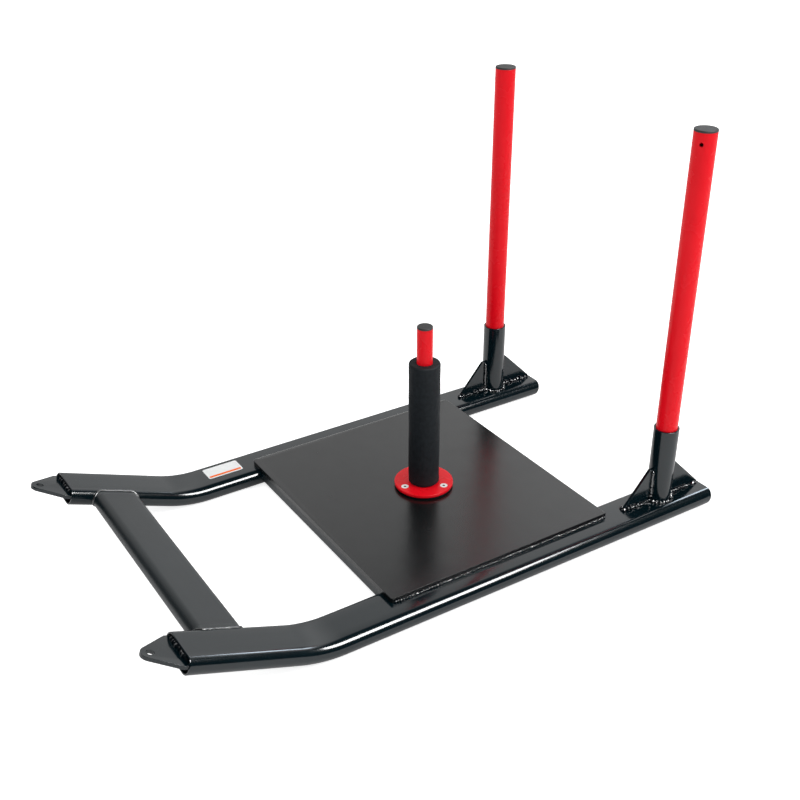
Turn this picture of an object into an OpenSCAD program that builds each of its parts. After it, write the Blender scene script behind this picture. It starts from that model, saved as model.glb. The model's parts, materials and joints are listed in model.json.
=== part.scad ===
// Weight sled: two flat-oval skids with turned-up fronts, a welded deck with a weight post,
// a front crossbar, tow ears and two push poles that stand loose in welded sockets.
// +Y points to the rear, where the person who pushes stands, +X to that person's left, +Z up.
// The origin is on the ground under the middle of the sled.

/* [Runners] */
// Distance between the two runners, centre to centre
runner_spacing = 452; // [400:1:560]
// Width of the flat-oval runner tube
tube_w = 76; // [70:1:90]
// Height of the flat-oval runner tube
tube_h = 28; // [26:1:32]
// Wall of the flat-oval runner tube
tube_wall = 2.5; // [1.5:0.1:3.5]
// Radius of the bend, along the middle of the tube
bend_r = 191; // [140:1:260]
// Angle by which the front of a runner turns up
tilt = 21; // [12:1:28]
// Length of the straight front section of a runner
front_len = 169; // [150:1:220]
// Angle by which the rear end of a runner is cut back under its top
rear_cut = 15; // [0:1:20]

/* [Crossbar] */
// Width of the flat-oval crossbar tube
bar_w = 75; // [50:1:80]
// Height of the flat-oval crossbar tube
bar_h = 26; // [20:0.5:27.5]
// Wall of the crossbar tube
bar_wall = 2.5; // [1.5:0.1:3.5]
// Distance from the runner mouths back to the middle of the crossbar
bar_back = 73; // [60:1:90]

/* [Tow ears] */
// Thickness of a tow ear
ear_t = 5.5; // [3:0.5:8]
// Distance from the runner mouth forward to the tow hole
ear_reach = 38; // [32:1:60]
// Radius of the rounded tip round the tow hole
ear_tip_r = 13; // [9:0.5:16]
// Diameter of the tow hole
tow_hole_d = 11; // [6:0.5:12]
// Height of the ear's middle above the middle of the tube
ear_lift = 2; // [-3:0.5:3]
// Length of the ear that is welded inside the tube
ear_inset = 45; // [15:1:50]
// Length of the full-width part of the ear in front of the mouth
ear_shoulder = 6; // [0:0.5:8]

/* [Deck] */
// Width of the deck plate
deck_w = 452; // [420:1:470]
// Length of the deck plate
deck_len = 400; // [300:1:410]
// Thickness of the deck plate
deck_t = 8; // [3:0.5:10]
// Radius of the deck's corners on the left
deck_left_corner_r = 3; // [2:0.5:20]
// Radius of the deck's corners on the right
deck_right_corner_r = 12; // [2:0.5:20]
// Distance from the rear end of the runners forward to the deck
deck_back = 198.5; // [189:0.5:220]
// Distance from the front edge of the deck forward to the bend of the runners
deck_front = 92.5; // [86:0.5:200]
// Height of the stiffening bars under the front and rear edges of the deck
rib_h = 17; // [8:0.5:20]
// Thickness of the stiffening bars
rib_t = 5; // [3:0.5:8]
// Distance of a stiffening bar back from the edge of the deck
rib_inset = 1.5; // [0:0.5:10]

/* [Weight post] */
// Distance from the rear edge of the deck forward to the post
post_back = 196.5; // [140:0.5:240]
// Outer diameter of the weight post
post_d = 25; // [20:0.5:30]
// Wall of the weight post tube
post_wall = 2.5; // [1.5:0.1:3.5]
// Length of the post tube, from the underside of its flange
post_len = 279; // [250:1:400]
// Diameter of the post's base flange
flange_d = 96; // [88:1:120]
// Thickness of the base flange
flange_t = 5; // [4.5:0.5:10]
// Thickness of the rubber pad under the flange
pad_t = 3; // [1:0.5:5]
// Distance of the pad's rim inside the rim of the flange
pad_rim = 2; // [0:0.5:4]
// Diameter of the circle of flange screws
screw_circle_d = 73; // [66:1:76]
// Number of flange screws
screw_count = 3; // [3:1:6]
// Diameter of the flange screws
screw_d = 6; // [5:0.5:8]
// Diameter of the countersunk screw heads
head_d = 12; // [10:0.5:14]
// Width across the flats of the hexagon key hole in a screw head
key_af = 4; // [3:0.5:4]
// Depth of the key hole
key_depth = 2; // [1:0.5:2.5]
// Length of a screw below its nut
screw_tip = 2.4; // [0:0.1:5]
// Diameter of a washer
washer_d = 12; // [10:0.5:16]
// Thickness of a washer
washer_t = 1.6; // [1:0.1:2.5]
// Width across the flats of a nut
nut_af = 10; // [9:0.5:13]
// Height of a nut
nut_h = 5; // [4:0.5:7]

/* [Plate sleeve] */
// Outer diameter of the foam sleeve, for plates with a wide bore
sleeve_d = 50; // [40:0.5:50]
// Length of the foam sleeve
sleeve_len = 215; // [150:1:240]
// Radius of the sleeve's rounded rims
sleeve_rim_r = 4; // [1:0.5:6]

/* [Push poles] */
// Outer diameter of a push pole
pole_d = 34; // [25:0.5:34]
// Wall of a push pole
pole_wall = 2; // [1.5:0.1:3]
// Length of a push pole without its cap
pole_len = 597; // [400:1:1000]
// Diameter of the hanging hole near the top of a pole
hang_hole_d = 6; // [3:0.5:8]
// Distance from the top of the tube down to the hanging hole
hang_hole_drop = 16; // [16:1:60]
// Direction that the left pole's hanging hole faces, measured from +X
hang_hole_turn = -60; // [-180:5:180]

/* [Sockets] */
// Wall of a pole socket
socket_wall = 2.5; // [2:0.1:4]
// Height of a pole socket above the runner
socket_len = 130; // [90:1:180]
// Distance from the rear end of a runner forward to the socket's axis
socket_back = 88; // [86:1:98]
// Distance from the toe of the rear gusset to the rear end of the runner
toe_margin = 4; // [4:0.5:20]
// Distance from the socket's axis forward to the toe of the front gusset
front_gusset_reach = 75; // [60:1:90]
// Height of a gusset
gusset_h = 60; // [40:1:80]
// Thickness of a gusset
gusset_t = 5; // [3:0.5:8]
// Height of the blunt toe of a gusset
gusset_toe = 4; // [3:1:15]
// Width of the flat land at the top of a gusset
gusset_land = 7; // [3:1:15]

/* [End caps] */
// Thickness of the visible head of an end cap
cap_t = 3; // [2:0.5:6]
// Radius of the rounded edge of a cap's head
cap_edge_r = 1.2; // [0.4:0.2:1.8]
// Length of the stem of a cap inside its tube
cap_stem = 12; // [8:1:12]

/* [Label] */
// Length of the blank label on the right runner
label_len = 62; // [30:1:63]
// Width of the blank label
label_w = 32; // [15:1:34]
// Thickness of the blank label
label_t = 0.3; // [0.1:0.1:0.5]
// Corner radius of the label
label_corner_r = 3; // [1:0.5:5]
// Distance from the deck forward to the label
label_gap = 20.5; // [5:0.5:24]
// Distance from the middle of the runner out to the middle of the label
label_out = 5; // [0:0.5:7]

/* [Welds] */
// Leg of the fillet welds at the sockets and gussets
socket_weld_leg = 3.5; // [2:0.5:4]
// Leg of the welds along the sides of the deck
deck_weld_leg = 3; // [1:0.5:6]
// Leg of the welds round the ends of the crossbar
bar_weld_leg = 2; // [1:0.5:3]
// Radius of the beads that hold a tow ear
ear_bead_r = 3; // [1.5:0.5:4]
// Radius of the upright beads between a gusset and its socket
upright_bead_r = 3.5; // [1.5:0.5:5]
// Leg of the short welds between a stiffening bar and the deck
rib_weld_leg = 3; // [1:0.5:5]
// Length of a short weld
rib_weld_len = 30; // [10:1:50]
// Number of short welds along a stiffening bar
rib_weld_count = 4; // [2:1:6]
// Leg of the weld under the post flange
post_weld_leg = 3; // [1:0.5:4]

/* [Clearances] */
// Gap between pieces that are welded or fastened together
seam = 0.1; // [0.05:0.05:0.2]
// Gap round the pole in its socket
pole_play = 0.5; // [0.3:0.1:1]
// Gap round the post in the foam sleeve
sleeve_play = 0.4; // [0.3:0.1:1]
// Gap under the foam sleeve
sleeve_rest = 0.3; // [0.2:0.1:0.5]
// Gap round a screw in its hole
screw_play = 0.3; // [0.2:0.1:0.5]
// Gap round the stem of a cap
stem_play = 0.15; // [0.1:0.05:0.3]

/* [Hidden] */
$fn = 96;
// Facets in a full turn of the runners' long bend
bend_fn = 360;

LEFT = 1;
RIGHT = -1;
FRONT = -1;
REAR = 1;

// Places across the sled
runner_x = runner_spacing / 2;
flat_half = (tube_w - tube_h) / 2;
flat_span = runner_spacing - 2 * flat_half;

// Places along the sled, which is centred on the origin
ground_len = deck_back + deck_len + deck_front;
ear_drop = ear_t / 2 - ear_lift;
front_run = bend_r * sin(tilt) + (front_len + ear_reach + ear_tip_r) * cos(tilt) + ear_drop * sin(tilt);
rear_y = (ground_len + front_run) / 2;
bend_y = rear_y - ground_len;
mouth_y = bend_y - bend_r * sin(tilt) - front_len * cos(tilt);
socket_y = rear_y - socket_back;
deck_rear_y = rear_y - deck_back;
deck_y = deck_rear_y - deck_len / 2;
post_y = deck_rear_y - post_back;

function deck_corner_r(side) = side == LEFT ? deck_left_corner_r : deck_right_corner_r;

// Heights
tube_mid = tube_h / 2;
mouth_z = tube_mid + bend_r * (1 - cos(tilt)) + front_len * sin(tilt);
deck_top = tube_h + deck_t;
pad_top = deck_top + pad_t;
flange_top = pad_top + flange_t;

// The tow ear just fits the inside of the tube at its own height
ear_top = abs(ear_lift) + ear_t / 2;
ear_half = flat_half + sqrt(pow(tube_mid - tube_wall, 2) - pow(ear_top, 2)) - seam;

// Socket tube round the pole
socket_r = pole_d / 2 + pole_play + socket_wall;
gusset_start = socket_r + seam;

// Distance from the socket's axis to the toe of a gusset
function gusset_end(end) = end == FRONT ? front_gusset_reach : socket_back - toe_margin;

// Margin by which a cutting shape runs past the face that it cuts
past = 1;

// Front section of a runner: how far it laps over the bend, and by how much it is wider there
lap = 0.3;
lap_grow = 0.005;

// How far the straight sides of an ear run inside its tip circle, so that they cross it cleanly
ear_bite = 0.02;

// Flat-oval outline, w wide and h high, with round ends
module oval(w, h) {
    square([w - h, h], center = true);
    for (side = [-1, 1])
        translate([side * (w - h) / 2, 0])
            circle(d = h);
}

module oval_tube(w, h, wall) {
    difference() {
        oval(w, h);
        oval(w - 2 * wall, h - 2 * wall);
    }
}

module rounded_plate(x, y, r) {
    square([x - 2 * r, y], center = true);
    square([x, y - 2 * r], center = true);
    for (i = [-1, 1], j = [-1, 1])
        translate([i * (x / 2 - r), j * (y / 2 - r)])
            circle(r);
}

// Frame of the turned-up front: its origin is the middle between the mouths,
// +Y runs back down the tubes and +Z is square to their flat tops
module in_front() {
    translate([0, mouth_y, mouth_z])
        rotate([-tilt, 0, 0])
            children();
}

// Extrudes an outline back along +Y from the local origin
module back_along(length) {
    translate([0, length, 0])
        rotate([90, 0, 0])
            linear_extrude(length)
                children();
}

// Extrudes an outline along X, centred, with its own x along +Y
module across(length) {
    rotate([90, 0, 90])
        translate([0, 0, -length / 2])
            linear_extrude(length)
                children();
}

module tube(d, wall, length) {
    difference() {
        cylinder(d = d, h = length);
        translate([0, 0, -past])
            cylinder(d = d - 2 * wall, h = length + 2 * past);
    }
}

module at_screws() {
    for (i = [0 : screw_count - 1])
        rotate(i * 360 / screw_count - 90)
            translate([screw_circle_d / 2, 0, 0])
                children();
}

module at_deck() {
    translate([0, deck_y, tube_h])
        children();
}

module at_post() {
    translate([0, post_y, 0])
        children();
}

module at_socket(side) {
    translate([side * runner_x, socket_y, tube_h])
        children();
}

module runner(side) {
    color("#23262a")
        translate([side * runner_x, 0, 0])
            union() {
                difference() {
                    translate([0, bend_y, tube_mid])
                        back_along(ground_len)
                            oval_tube(tube_w, tube_h, tube_wall);
                    translate([-tube_w, rear_y, tube_h])
                        rotate([-rear_cut, 0, 0])
                            translate([0, 0, -2 * tube_h])
                                cube([2 * tube_w, tube_w, 4 * tube_h]);
                }
                translate([0, bend_y, tube_mid + bend_r])
                    rotate([0, 90, 180])
                        rotate_extrude(angle = tilt, $fn = bend_fn)
                            translate([bend_r, 0])
                                rotate(90)
                                    oval_tube(tube_w, tube_h, tube_wall);
                in_front()
                    back_along(front_len + lap)
                        oval_tube(tube_w + 2 * lap_grow, tube_h + 2 * lap_grow, tube_wall + 2 * lap_grow);
            }
}

// The front section of both runners, grown by a margin, as a solid bar
module front_bars(grow) {
    in_front()
        for (side = [LEFT, RIGHT])
            translate([side * runner_x, -past, 0])
                back_along(front_len + past)
                    oval(tube_w + 2 * grow, tube_h + 2 * grow);
}

module crossbar() {
    color("#23262a")
        difference() {
            in_front()
                translate([0, bar_back, 0])
                    across(flat_span)
                        oval_tube(bar_w, bar_h, bar_wall);
            front_bars(seam);
        }
}

// Weld bead: all that lies within one weld leg of both the crossbar and the runner
module crossbar_weld(side) {
    reach = flat_half + tube_mid + bar_weld_leg;
    color("#17191c")
        difference() {
            intersection() {
                in_front()
                    translate([side * (flat_span - reach) / 2, bar_back, 0])
                        across(reach + 2 * bar_weld_leg)
                            oval(bar_w + 2 * bar_weld_leg, bar_h + 2 * bar_weld_leg);
                front_bars(bar_weld_leg);
            }
            in_front()
                translate([0, bar_back, 0])
                    across(runner_spacing)
                        oval(bar_w + seam, bar_h + seam);
            front_bars(seam / 2);
        }
}

// Straight-sided part of an ear, up to where its sides touch the tip circle
module ear_outline() {
    corner = [ear_half, ear_reach - ear_shoulder];
    turn = atan2(corner[1], corner[0]) - acos(ear_tip_r / norm(corner));
    touch = (ear_tip_r - ear_bite) * [cos(turn), sin(turn)] - [0, ear_reach];
    polygon([
        [ear_half, ear_inset],
        [ear_half, -ear_shoulder],
        touch,
        [-touch[0], touch[1]],
        [-ear_half, -ear_shoulder],
        [-ear_half, ear_inset]
    ]);
}

module tow_ear(side) {
    color("#1d2023")
        in_front()
            translate([side * runner_x, 0, ear_lift - ear_t / 2])
                difference() {
                    union() {
                        linear_extrude(ear_t)
                            ear_outline();
                        translate([0, -ear_reach, 0])
                            cylinder(r = ear_tip_r, h = ear_t);
                    }
                    translate([0, -ear_reach, -past])
                        cylinder(d = tow_hole_d, h = ear_t + 2 * past);
                }
}

// Beads in the corners between the top of an ear and the inside of the tube
module ear_weld(side) {
    inner_w = tube_w - 2 * (tube_wall + seam);
    inner_h = tube_h - 2 * (tube_wall + seam);
    color("#2c2f33")
        in_front()
            translate([side * runner_x, 0, 0])
                intersection() {
                    back_along(ear_inset)
                        oval(inner_w, inner_h);
                    for (edge = [-1, 1])
                        translate([edge * ear_half, 0, ear_lift + ear_t / 2])
                            difference() {
                                back_along(ear_inset)
                                    circle(ear_bead_r);
                                translate([-tube_h, -past, -tube_h])
                                    cube([2 * tube_h, ear_inset + 2 * past, tube_h]);
                            }
                }
}

// The deck's outline, with its own corner radius on each side
module deck_outline() {
    for (side = [LEFT, RIGHT]) {
        r = deck_corner_r(side);
        translate([side * (deck_w / 2 - past) / 2, 0])
            square([deck_w / 2 + past, deck_len - 2 * r], center = true);
        translate([side * (deck_w / 2 - r - past) / 2, 0])
            square([deck_w / 2 - r + past, deck_len], center = true);
        for (end = [FRONT, REAR])
            translate([side * (deck_w / 2 - r), end * (deck_len / 2 - r)])
                circle(r);
    }
}

module deck_plate() {
    color("#303235")
        difference() {
            at_deck()
                linear_extrude(deck_t)
                    deck_outline();
            at_post()
                at_screws()
                    cylinder(d = screw_d + 2 * screw_play, h = deck_top + past);
        }
}

// Flat bar on edge under the deck, its ends shaped to the round sides of the runners
module deck_bar(end) {
    edge_y = deck_len / 2 - rib_inset - rib_t / 2;
    color("#3a3a39")
        difference() {
            at_deck()
                translate([0, end * edge_y, -rib_h / 2])
                    cube([flat_span, rib_t, rib_h], center = true);
            for (side = [LEFT, RIGHT])
                translate([side * runner_x, bend_y, tube_mid])
                    back_along(ground_len)
                        oval(tube_w + 2 * seam, tube_h + 2 * seam);
        }
}

// Short fillets between the inner face of a stiffening bar and the underside of the deck
module deck_bar_welds() {
    face_y = deck_len / 2 - rib_inset - rib_t;
    pitch = (flat_span - 2 * rib_weld_len) / rib_weld_count;
    color("#17191c")
        at_deck()
            for (end = [FRONT, REAR], i = [0 : rib_weld_count - 1])
                translate([(i - (rib_weld_count - 1) / 2) * pitch, end * face_y, 0])
                    across(rib_weld_len)
                        polygon([[0, 0], [-end * rib_weld_leg, 0], [0, -rib_weld_leg]]);
}

// Fillet along the side of the deck, on the flat top of the runner
module deck_weld(side) {
    color("#17191c")
        at_deck()
            translate([side * deck_w / 2, deck_corner_r(side) - deck_len / 2, 0])
                back_along(deck_len - 2 * deck_corner_r(side))
                    polygon([[0, 0], [side * deck_weld_leg, 0], [0, deck_weld_leg]]);
}

// Rubber disc between the flange and the deck
module flange_pad() {
    color("#1b1c1e")
        at_post()
            translate([0, 0, deck_top])
                difference() {
                    cylinder(d = flange_d - 2 * pad_rim, h = pad_t);
                    translate([0, 0, -past])
                        cylinder(d = post_d - 2 * post_wall, h = pad_t + 2 * past);
                    at_screws()
                        translate([0, 0, -past])
                            cylinder(d = screw_d + 2 * screw_play, h = pad_t + 2 * past);
                }
}

module post_flange() {
    bore_r = post_d / 2 + seam;
    color("#e0182a")
        at_post()
            translate([0, 0, pad_top])
                difference() {
                    cylinder(d = flange_d, h = flange_t);
                    translate([0, 0, -past])
                        cylinder(r = bore_r, h = flange_t + 2 * past);
                    cylinder(r1 = bore_r + post_weld_leg, r2 = bore_r, h = post_weld_leg);
                    at_screws() {
                        translate([0, 0, -past])
                            cylinder(d = screw_d + 2 * screw_play, h = flange_t + 2 * past);
                        translate([0, 0, flange_t - head_d / 2])
                            cylinder(r1 = seam, r2 = head_d / 2 + seam, h = head_d / 2);
                    }
                }
}

module post_tube() {
    color("#e0182a")
        at_post()
            translate([0, 0, pad_top])
                tube(post_d, post_wall, post_len);
}

// Weld in the chamfer on the underside of the flange
module post_weld() {
    inner_r = post_d / 2 + seam / 2;
    color("#17191c")
        at_post()
            translate([0, 0, pad_top])
                rotate_extrude()
                    polygon([[inner_r, 0], [inner_r + post_weld_leg - seam, 0], [inner_r, post_weld_leg - seam]]);
}

// Plug with a round-edged head as wide as its tube, and a stem inside it
module end_cap(d, wall) {
    color("#3b3c3e")
        union() {
            rotate_extrude() {
                square([d / 2 - cap_edge_r, cap_t]);
                square([d / 2, cap_t - cap_edge_r]);
                translate([d / 2 - cap_edge_r, cap_t - cap_edge_r])
                    circle(cap_edge_r, $fn = 32);
            }
            translate([0, 0, -cap_stem])
                cylinder(r = d / 2 - wall - stem_play, h = cap_stem);
        }
}

module post_cap() {
    at_post()
        translate([0, 0, pad_top + post_len])
            end_cap(post_d, post_wall);
}

module flange_screws() {
    grip = pad_t + deck_t + washer_t + nut_h + screw_tip;
    color("#d9d9d6")
        at_post()
            translate([0, 0, pad_top])
                at_screws()
                    difference() {
                        union() {
                            translate([0, 0, -grip])
                                cylinder(d = screw_d, h = grip + flange_t);
                            translate([0, 0, flange_t - (head_d - screw_d) / 2])
                                cylinder(d1 = screw_d, d2 = head_d, h = (head_d - screw_d) / 2);
                        }
                        translate([0, 0, flange_t - key_depth])
                            cylinder(d = key_af / cos(30), h = key_depth + past, $fn = 6);
                    }
}

module flange_washers() {
    color("#c4c4c0")
        at_post()
            translate([0, 0, tube_h - washer_t])
                at_screws()
                    difference() {
                        cylinder(d = washer_d, h = washer_t);
                        translate([0, 0, -past])
                            cylinder(d = screw_d + 2 * screw_play, h = washer_t + 2 * past);
                    }
}

module flange_nuts() {
    color("#c4c4c0")
        at_post()
            translate([0, 0, tube_h - washer_t - nut_h])
                at_screws()
                    difference() {
                        cylinder(d = nut_af / cos(30), h = nut_h, $fn = 6);
                        translate([0, 0, -past])
                            cylinder(d = screw_d + 2 * seam, h = nut_h + 2 * past);
                    }
}

// Foam tube with round rims that slides over the post
module plate_sleeve() {
    outer_r = sleeve_d / 2;
    inner_r = post_d / 2 + sleeve_play;
    rim = outer_r - sleeve_rim_r;
    color("#17181a")
        at_post()
            translate([0, 0, flange_top + sleeve_rest])
                rotate_extrude() {
                    translate([inner_r, 0])
                        square([rim - inner_r, sleeve_len]);
                    translate([inner_r, sleeve_rim_r])
                        square([outer_r - inner_r, sleeve_len - 2 * sleeve_rim_r]);
                    for (z = [sleeve_rim_r, sleeve_len - sleeve_rim_r])
                        translate([rim, z])
                            circle(sleeve_rim_r);
                }
}

module socket(side) {
    color("#25282b")
        at_socket(side)
            tube(2 * socket_r, socket_wall, socket_len);
}

// Outline of a gusset, from the socket out to its toe
module gusset_outline(end) {
    polygon([
        [gusset_start, 0],
        [gusset_end(end), 0],
        [gusset_end(end), gusset_toe],
        [gusset_start + gusset_land, gusset_h],
        [gusset_start, gusset_h]
    ]);
}

module gusset_plate(end) {
    mirror([0, end == FRONT ? 1 : 0, 0])
        across(gusset_t)
            gusset_outline(end);
}

module gusset(side, end) {
    color("#25282b")
        at_socket(side)
            gusset_plate(end);
}

// Fillet along both sides of a gusset's foot, and round the toe of the front one
module gusset_foot_bead(end) {
    half = gusset_t / 2;
    back_along(gusset_end(end))
        polygon([[-half - socket_weld_leg, 0], [half + socket_weld_leg, 0], [half, socket_weld_leg],
            [-half, socket_weld_leg]]);
    if (end == FRONT)
        translate([0, gusset_end(end), 0])
            rotate_extrude(angle = 180)
                polygon([[0, 0], [half + socket_weld_leg, 0], [half, socket_weld_leg], [0, socket_weld_leg]]);
    for (edge = [-1, 1])
        translate([edge * half, socket_r, 0])
            cylinder(r = upright_bead_r, h = gusset_h - upright_bead_r);
}

// Welds round the foot of a socket and along its two gussets
module socket_weld(side) {
    color("#17191c")
        at_socket(side)
            difference() {
                union() {
                    cylinder(r1 = socket_r + socket_weld_leg, r2 = socket_r, h = socket_weld_leg);
                    for (end = [FRONT, REAR])
                        mirror([0, end == FRONT ? 1 : 0, 0])
                            gusset_foot_bead(end);
                }
                translate([0, 0, -past])
                    cylinder(r = socket_r + seam, h = socket_len);
                translate([-gusset_t / 2, -gusset_end(FRONT), -past])
                    cube([gusset_t, gusset_end(FRONT) + gusset_end(REAR) + past, gusset_h + 2 * past]);
            }
}

module pole(side) {
    facing = side == LEFT ? hang_hole_turn : 180 - hang_hole_turn;
    color("#e0182a")
        at_socket(side)
            difference() {
                tube(pole_d, pole_wall, pole_len);
                translate([0, 0, pole_len - hang_hole_drop])
                    rotate([0, 90, facing])
                        cylinder(d = hang_hole_d, h = pole_d);
            }
}

module pole_cap(side) {
    at_socket(side)
        translate([0, 0, pole_len])
            end_cap(pole_d, pole_wall);
}

// Blank label on the flat top of the right runner
module blank_label() {
    label_y = deck_y - deck_len / 2 - label_gap - label_len / 2;
    color("#f4f3ef")
        translate([-runner_x - label_out, label_y, tube_h])
            linear_extrude(label_t)
                rounded_plate(label_w, label_len, label_corner_r);
}

runner(LEFT);  // left_runner
runner(RIGHT);  // right_runner
crossbar();
tow_ear(LEFT);  // left_tow_ear
tow_ear(RIGHT);  // right_tow_ear
deck_plate();
deck_bar(FRONT);  // front_deck_bar
deck_bar(REAR);  // rear_deck_bar
flange_pad();
post_flange();
post_tube();
post_cap();
flange_screws();
flange_washers();
flange_nuts();
plate_sleeve();
socket(LEFT);  // left_socket
socket(RIGHT);  // right_socket
gusset(LEFT, FRONT);  // left_front_gusset
gusset(LEFT, REAR);  // left_rear_gusset
gusset(RIGHT, FRONT);  // right_front_gusset
gusset(RIGHT, REAR);  // right_rear_gusset
pole(LEFT);  // left_pole
pole(RIGHT);  // right_pole
pole_cap(LEFT);  // left_pole_cap
pole_cap(RIGHT);  // right_pole_cap
deck_weld(LEFT);  // left_deck_weld
deck_weld(RIGHT);  // right_deck_weld
deck_bar_welds();
crossbar_weld(LEFT);  // left_crossbar_weld
crossbar_weld(RIGHT);  // right_crossbar_weld
ear_weld(LEFT);  // left_ear_weld
ear_weld(RIGHT);  // right_ear_weld
socket_weld(LEFT);  // left_socket_weld
socket_weld(RIGHT);  // right_socket_weld
post_weld();
blank_label();
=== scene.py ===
import json
import math

import bmesh
import bpy
from mathutils import Matrix, Vector, noise


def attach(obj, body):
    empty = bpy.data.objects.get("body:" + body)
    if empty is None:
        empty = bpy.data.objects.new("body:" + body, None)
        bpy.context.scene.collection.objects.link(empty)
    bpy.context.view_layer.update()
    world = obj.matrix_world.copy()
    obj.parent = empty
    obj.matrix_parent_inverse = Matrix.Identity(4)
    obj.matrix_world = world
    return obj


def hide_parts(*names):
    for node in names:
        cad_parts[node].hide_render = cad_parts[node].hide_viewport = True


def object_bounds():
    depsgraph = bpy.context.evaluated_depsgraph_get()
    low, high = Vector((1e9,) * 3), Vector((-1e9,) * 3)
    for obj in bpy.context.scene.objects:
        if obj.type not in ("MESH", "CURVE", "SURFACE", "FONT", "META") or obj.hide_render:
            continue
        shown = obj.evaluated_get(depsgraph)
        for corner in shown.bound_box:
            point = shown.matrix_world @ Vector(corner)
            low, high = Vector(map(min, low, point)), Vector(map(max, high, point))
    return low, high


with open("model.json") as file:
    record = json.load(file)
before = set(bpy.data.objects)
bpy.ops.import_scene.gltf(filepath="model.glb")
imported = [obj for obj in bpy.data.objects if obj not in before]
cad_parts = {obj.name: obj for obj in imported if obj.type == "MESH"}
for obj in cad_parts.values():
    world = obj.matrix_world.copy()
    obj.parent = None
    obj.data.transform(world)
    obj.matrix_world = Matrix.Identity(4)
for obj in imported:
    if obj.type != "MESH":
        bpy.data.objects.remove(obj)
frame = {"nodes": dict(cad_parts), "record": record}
cad_box = [list(corner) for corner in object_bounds()]
nodes = frame["nodes"]
scene = bpy.context.scene

# Sizes are in metres, and places along the sled are measured from the rear end of the skids
REAR_Y = cad_box[1][1]
# The sign of X on each side
SIDES = {1: "left", -1: "right"}
UP = Vector((0, 0, 1))

# The skids: flat on the ground, a bend, and a straight front section up to the open mouth
RUNNER_X = 0.226
TUBE_W, TUBE_H, TUBE_WALL = 0.076, 0.028, 0.0025
GROUND_LEN, FRONT_LEN = 0.691, 0.169
BEND_R, TILT = 0.191, math.radians(21)
REAR_CUT = math.radians(15)
BEND_Y = REAR_Y - GROUND_LEN
MID_Z = TUBE_H / 2
ALONG_FRONT = Vector((0, -math.cos(TILT), math.sin(TILT)))
UP_FRONT = Vector((0, math.sin(TILT), math.cos(TILT)))
BEND_END = Vector((0, BEND_Y - BEND_R * math.sin(TILT), MID_Z + BEND_R * (1 - math.cos(TILT))))
MOUTH = BEND_END + ALONG_FRONT * FRONT_LEN

# Between the mouths: the crossbar and the tow ears
CROSSBAR_W, CROSSBAR_H, CROSSBAR_BACK = 0.075, 0.026, 0.073
EAR_T, EAR_LIFT, EAR_REACH, EAR_TIP_R = 0.0055, 0.002, 0.038, 0.013
EAR_SHOULDER, EAR_INSET, TOW_HOLE_R = 0.006, 0.045, 0.0055
EAR_TOP = EAR_LIFT + EAR_T / 2
EAR_HALF = (TUBE_W - TUBE_H) / 2 + math.sqrt((MID_Z - TUBE_WALL) ** 2 - EAR_TOP ** 2) - 0.0001

# The deck, and the weight post that stands on it
DECK_W, DECK_L, DECK_T = 0.452, 0.400, 0.008
DECK_REAR_Y = REAR_Y - 0.1985
DECK_Y = DECK_REAR_Y - DECK_L / 2
DECK_FRONT_Y = DECK_Y - DECK_L / 2
DECK_BOTTOM, DECK_TOP = TUBE_H, TUBE_H + DECK_T
DECK_CORNER_R = {1: 0.003, -1: 0.012}
BAR_T, BAR_INSET = 0.005, 0.0015
POST_Y = DECK_REAR_Y - 0.1965
POST_R, POST_BORE, POST_LEN = 0.0125, 0.010, 0.279
PAD_TOP = DECK_TOP + 0.003
FLANGE_R, FLANGE_BORE, FLANGE_TOP = 0.048, 0.0126, PAD_TOP + 0.005
SCREW_RING_R, COUNTERSINK_DEPTH = 0.0365, 0.006
SLEEVE_R, SLEEVE_BORE, SLEEVE_LEN, SLEEVE_GAP = 0.025, 0.0129, 0.215, 0.0003

# The poles in their sockets
SOCKET_Y, SOCKET_R, SOCKET_BORE, SOCKET_TOP = REAR_Y - 0.088, 0.020, 0.0175, TUBE_H + 0.130
POLE_R, POLE_BORE, POLE_TOP = 0.017, 0.015, TUBE_H + 0.597
HANG_HOLE_R, HANG_HOLE_DROP = 0.003, 0.016
GUSSET_T, GUSSET_H, FRONT_TOE, REAR_TOE = 0.005, 0.060, 0.075, 0.084

# The label, on the right skid in front of the deck
LABEL_W, LABEL_L, LABEL_T, LABEL_GAP = 0.032, 0.062, 0.0003, 0.0205
LABEL_X, LABEL_Y = -0.231, DECK_FRONT_Y - LABEL_GAP - LABEL_L / 2


# Camera
def place_camera():
    """The photo's view, by a pinhole camera fitted to the outlines of skids, deck, sockets and poles."""
    azimuth, elevation, roll = (math.radians(a) for a in (57.693, 30.017, -0.217))
    place = Vector((1.29869, REAR_Y - 1.261806, 1.046465))
    back = Vector((math.sin(azimuth) * math.cos(elevation),
                   -math.cos(azimuth) * math.cos(elevation),
                   math.sin(elevation)))
    right = Vector((math.cos(azimuth), math.sin(azimuth), 0))
    up = back.cross(right)
    right, up = (right * math.cos(roll) + up * math.sin(roll),
                 up * math.cos(roll) - right * math.sin(roll))
    data = bpy.data.cameras.new("camera")
    data.sensor_width = 36
    data.lens = 50.817
    data.shift_x = -0.00004
    data.shift_y = 0.03345
    data.clip_end = 50
    camera = bpy.data.objects.new("camera", data)
    scene.collection.objects.link(camera)
    turn = Matrix((right, up, back)).transposed().to_4x4()
    camera.matrix_world = Matrix.Translation(place) @ turn
    scene.camera = camera


place_camera()


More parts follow.
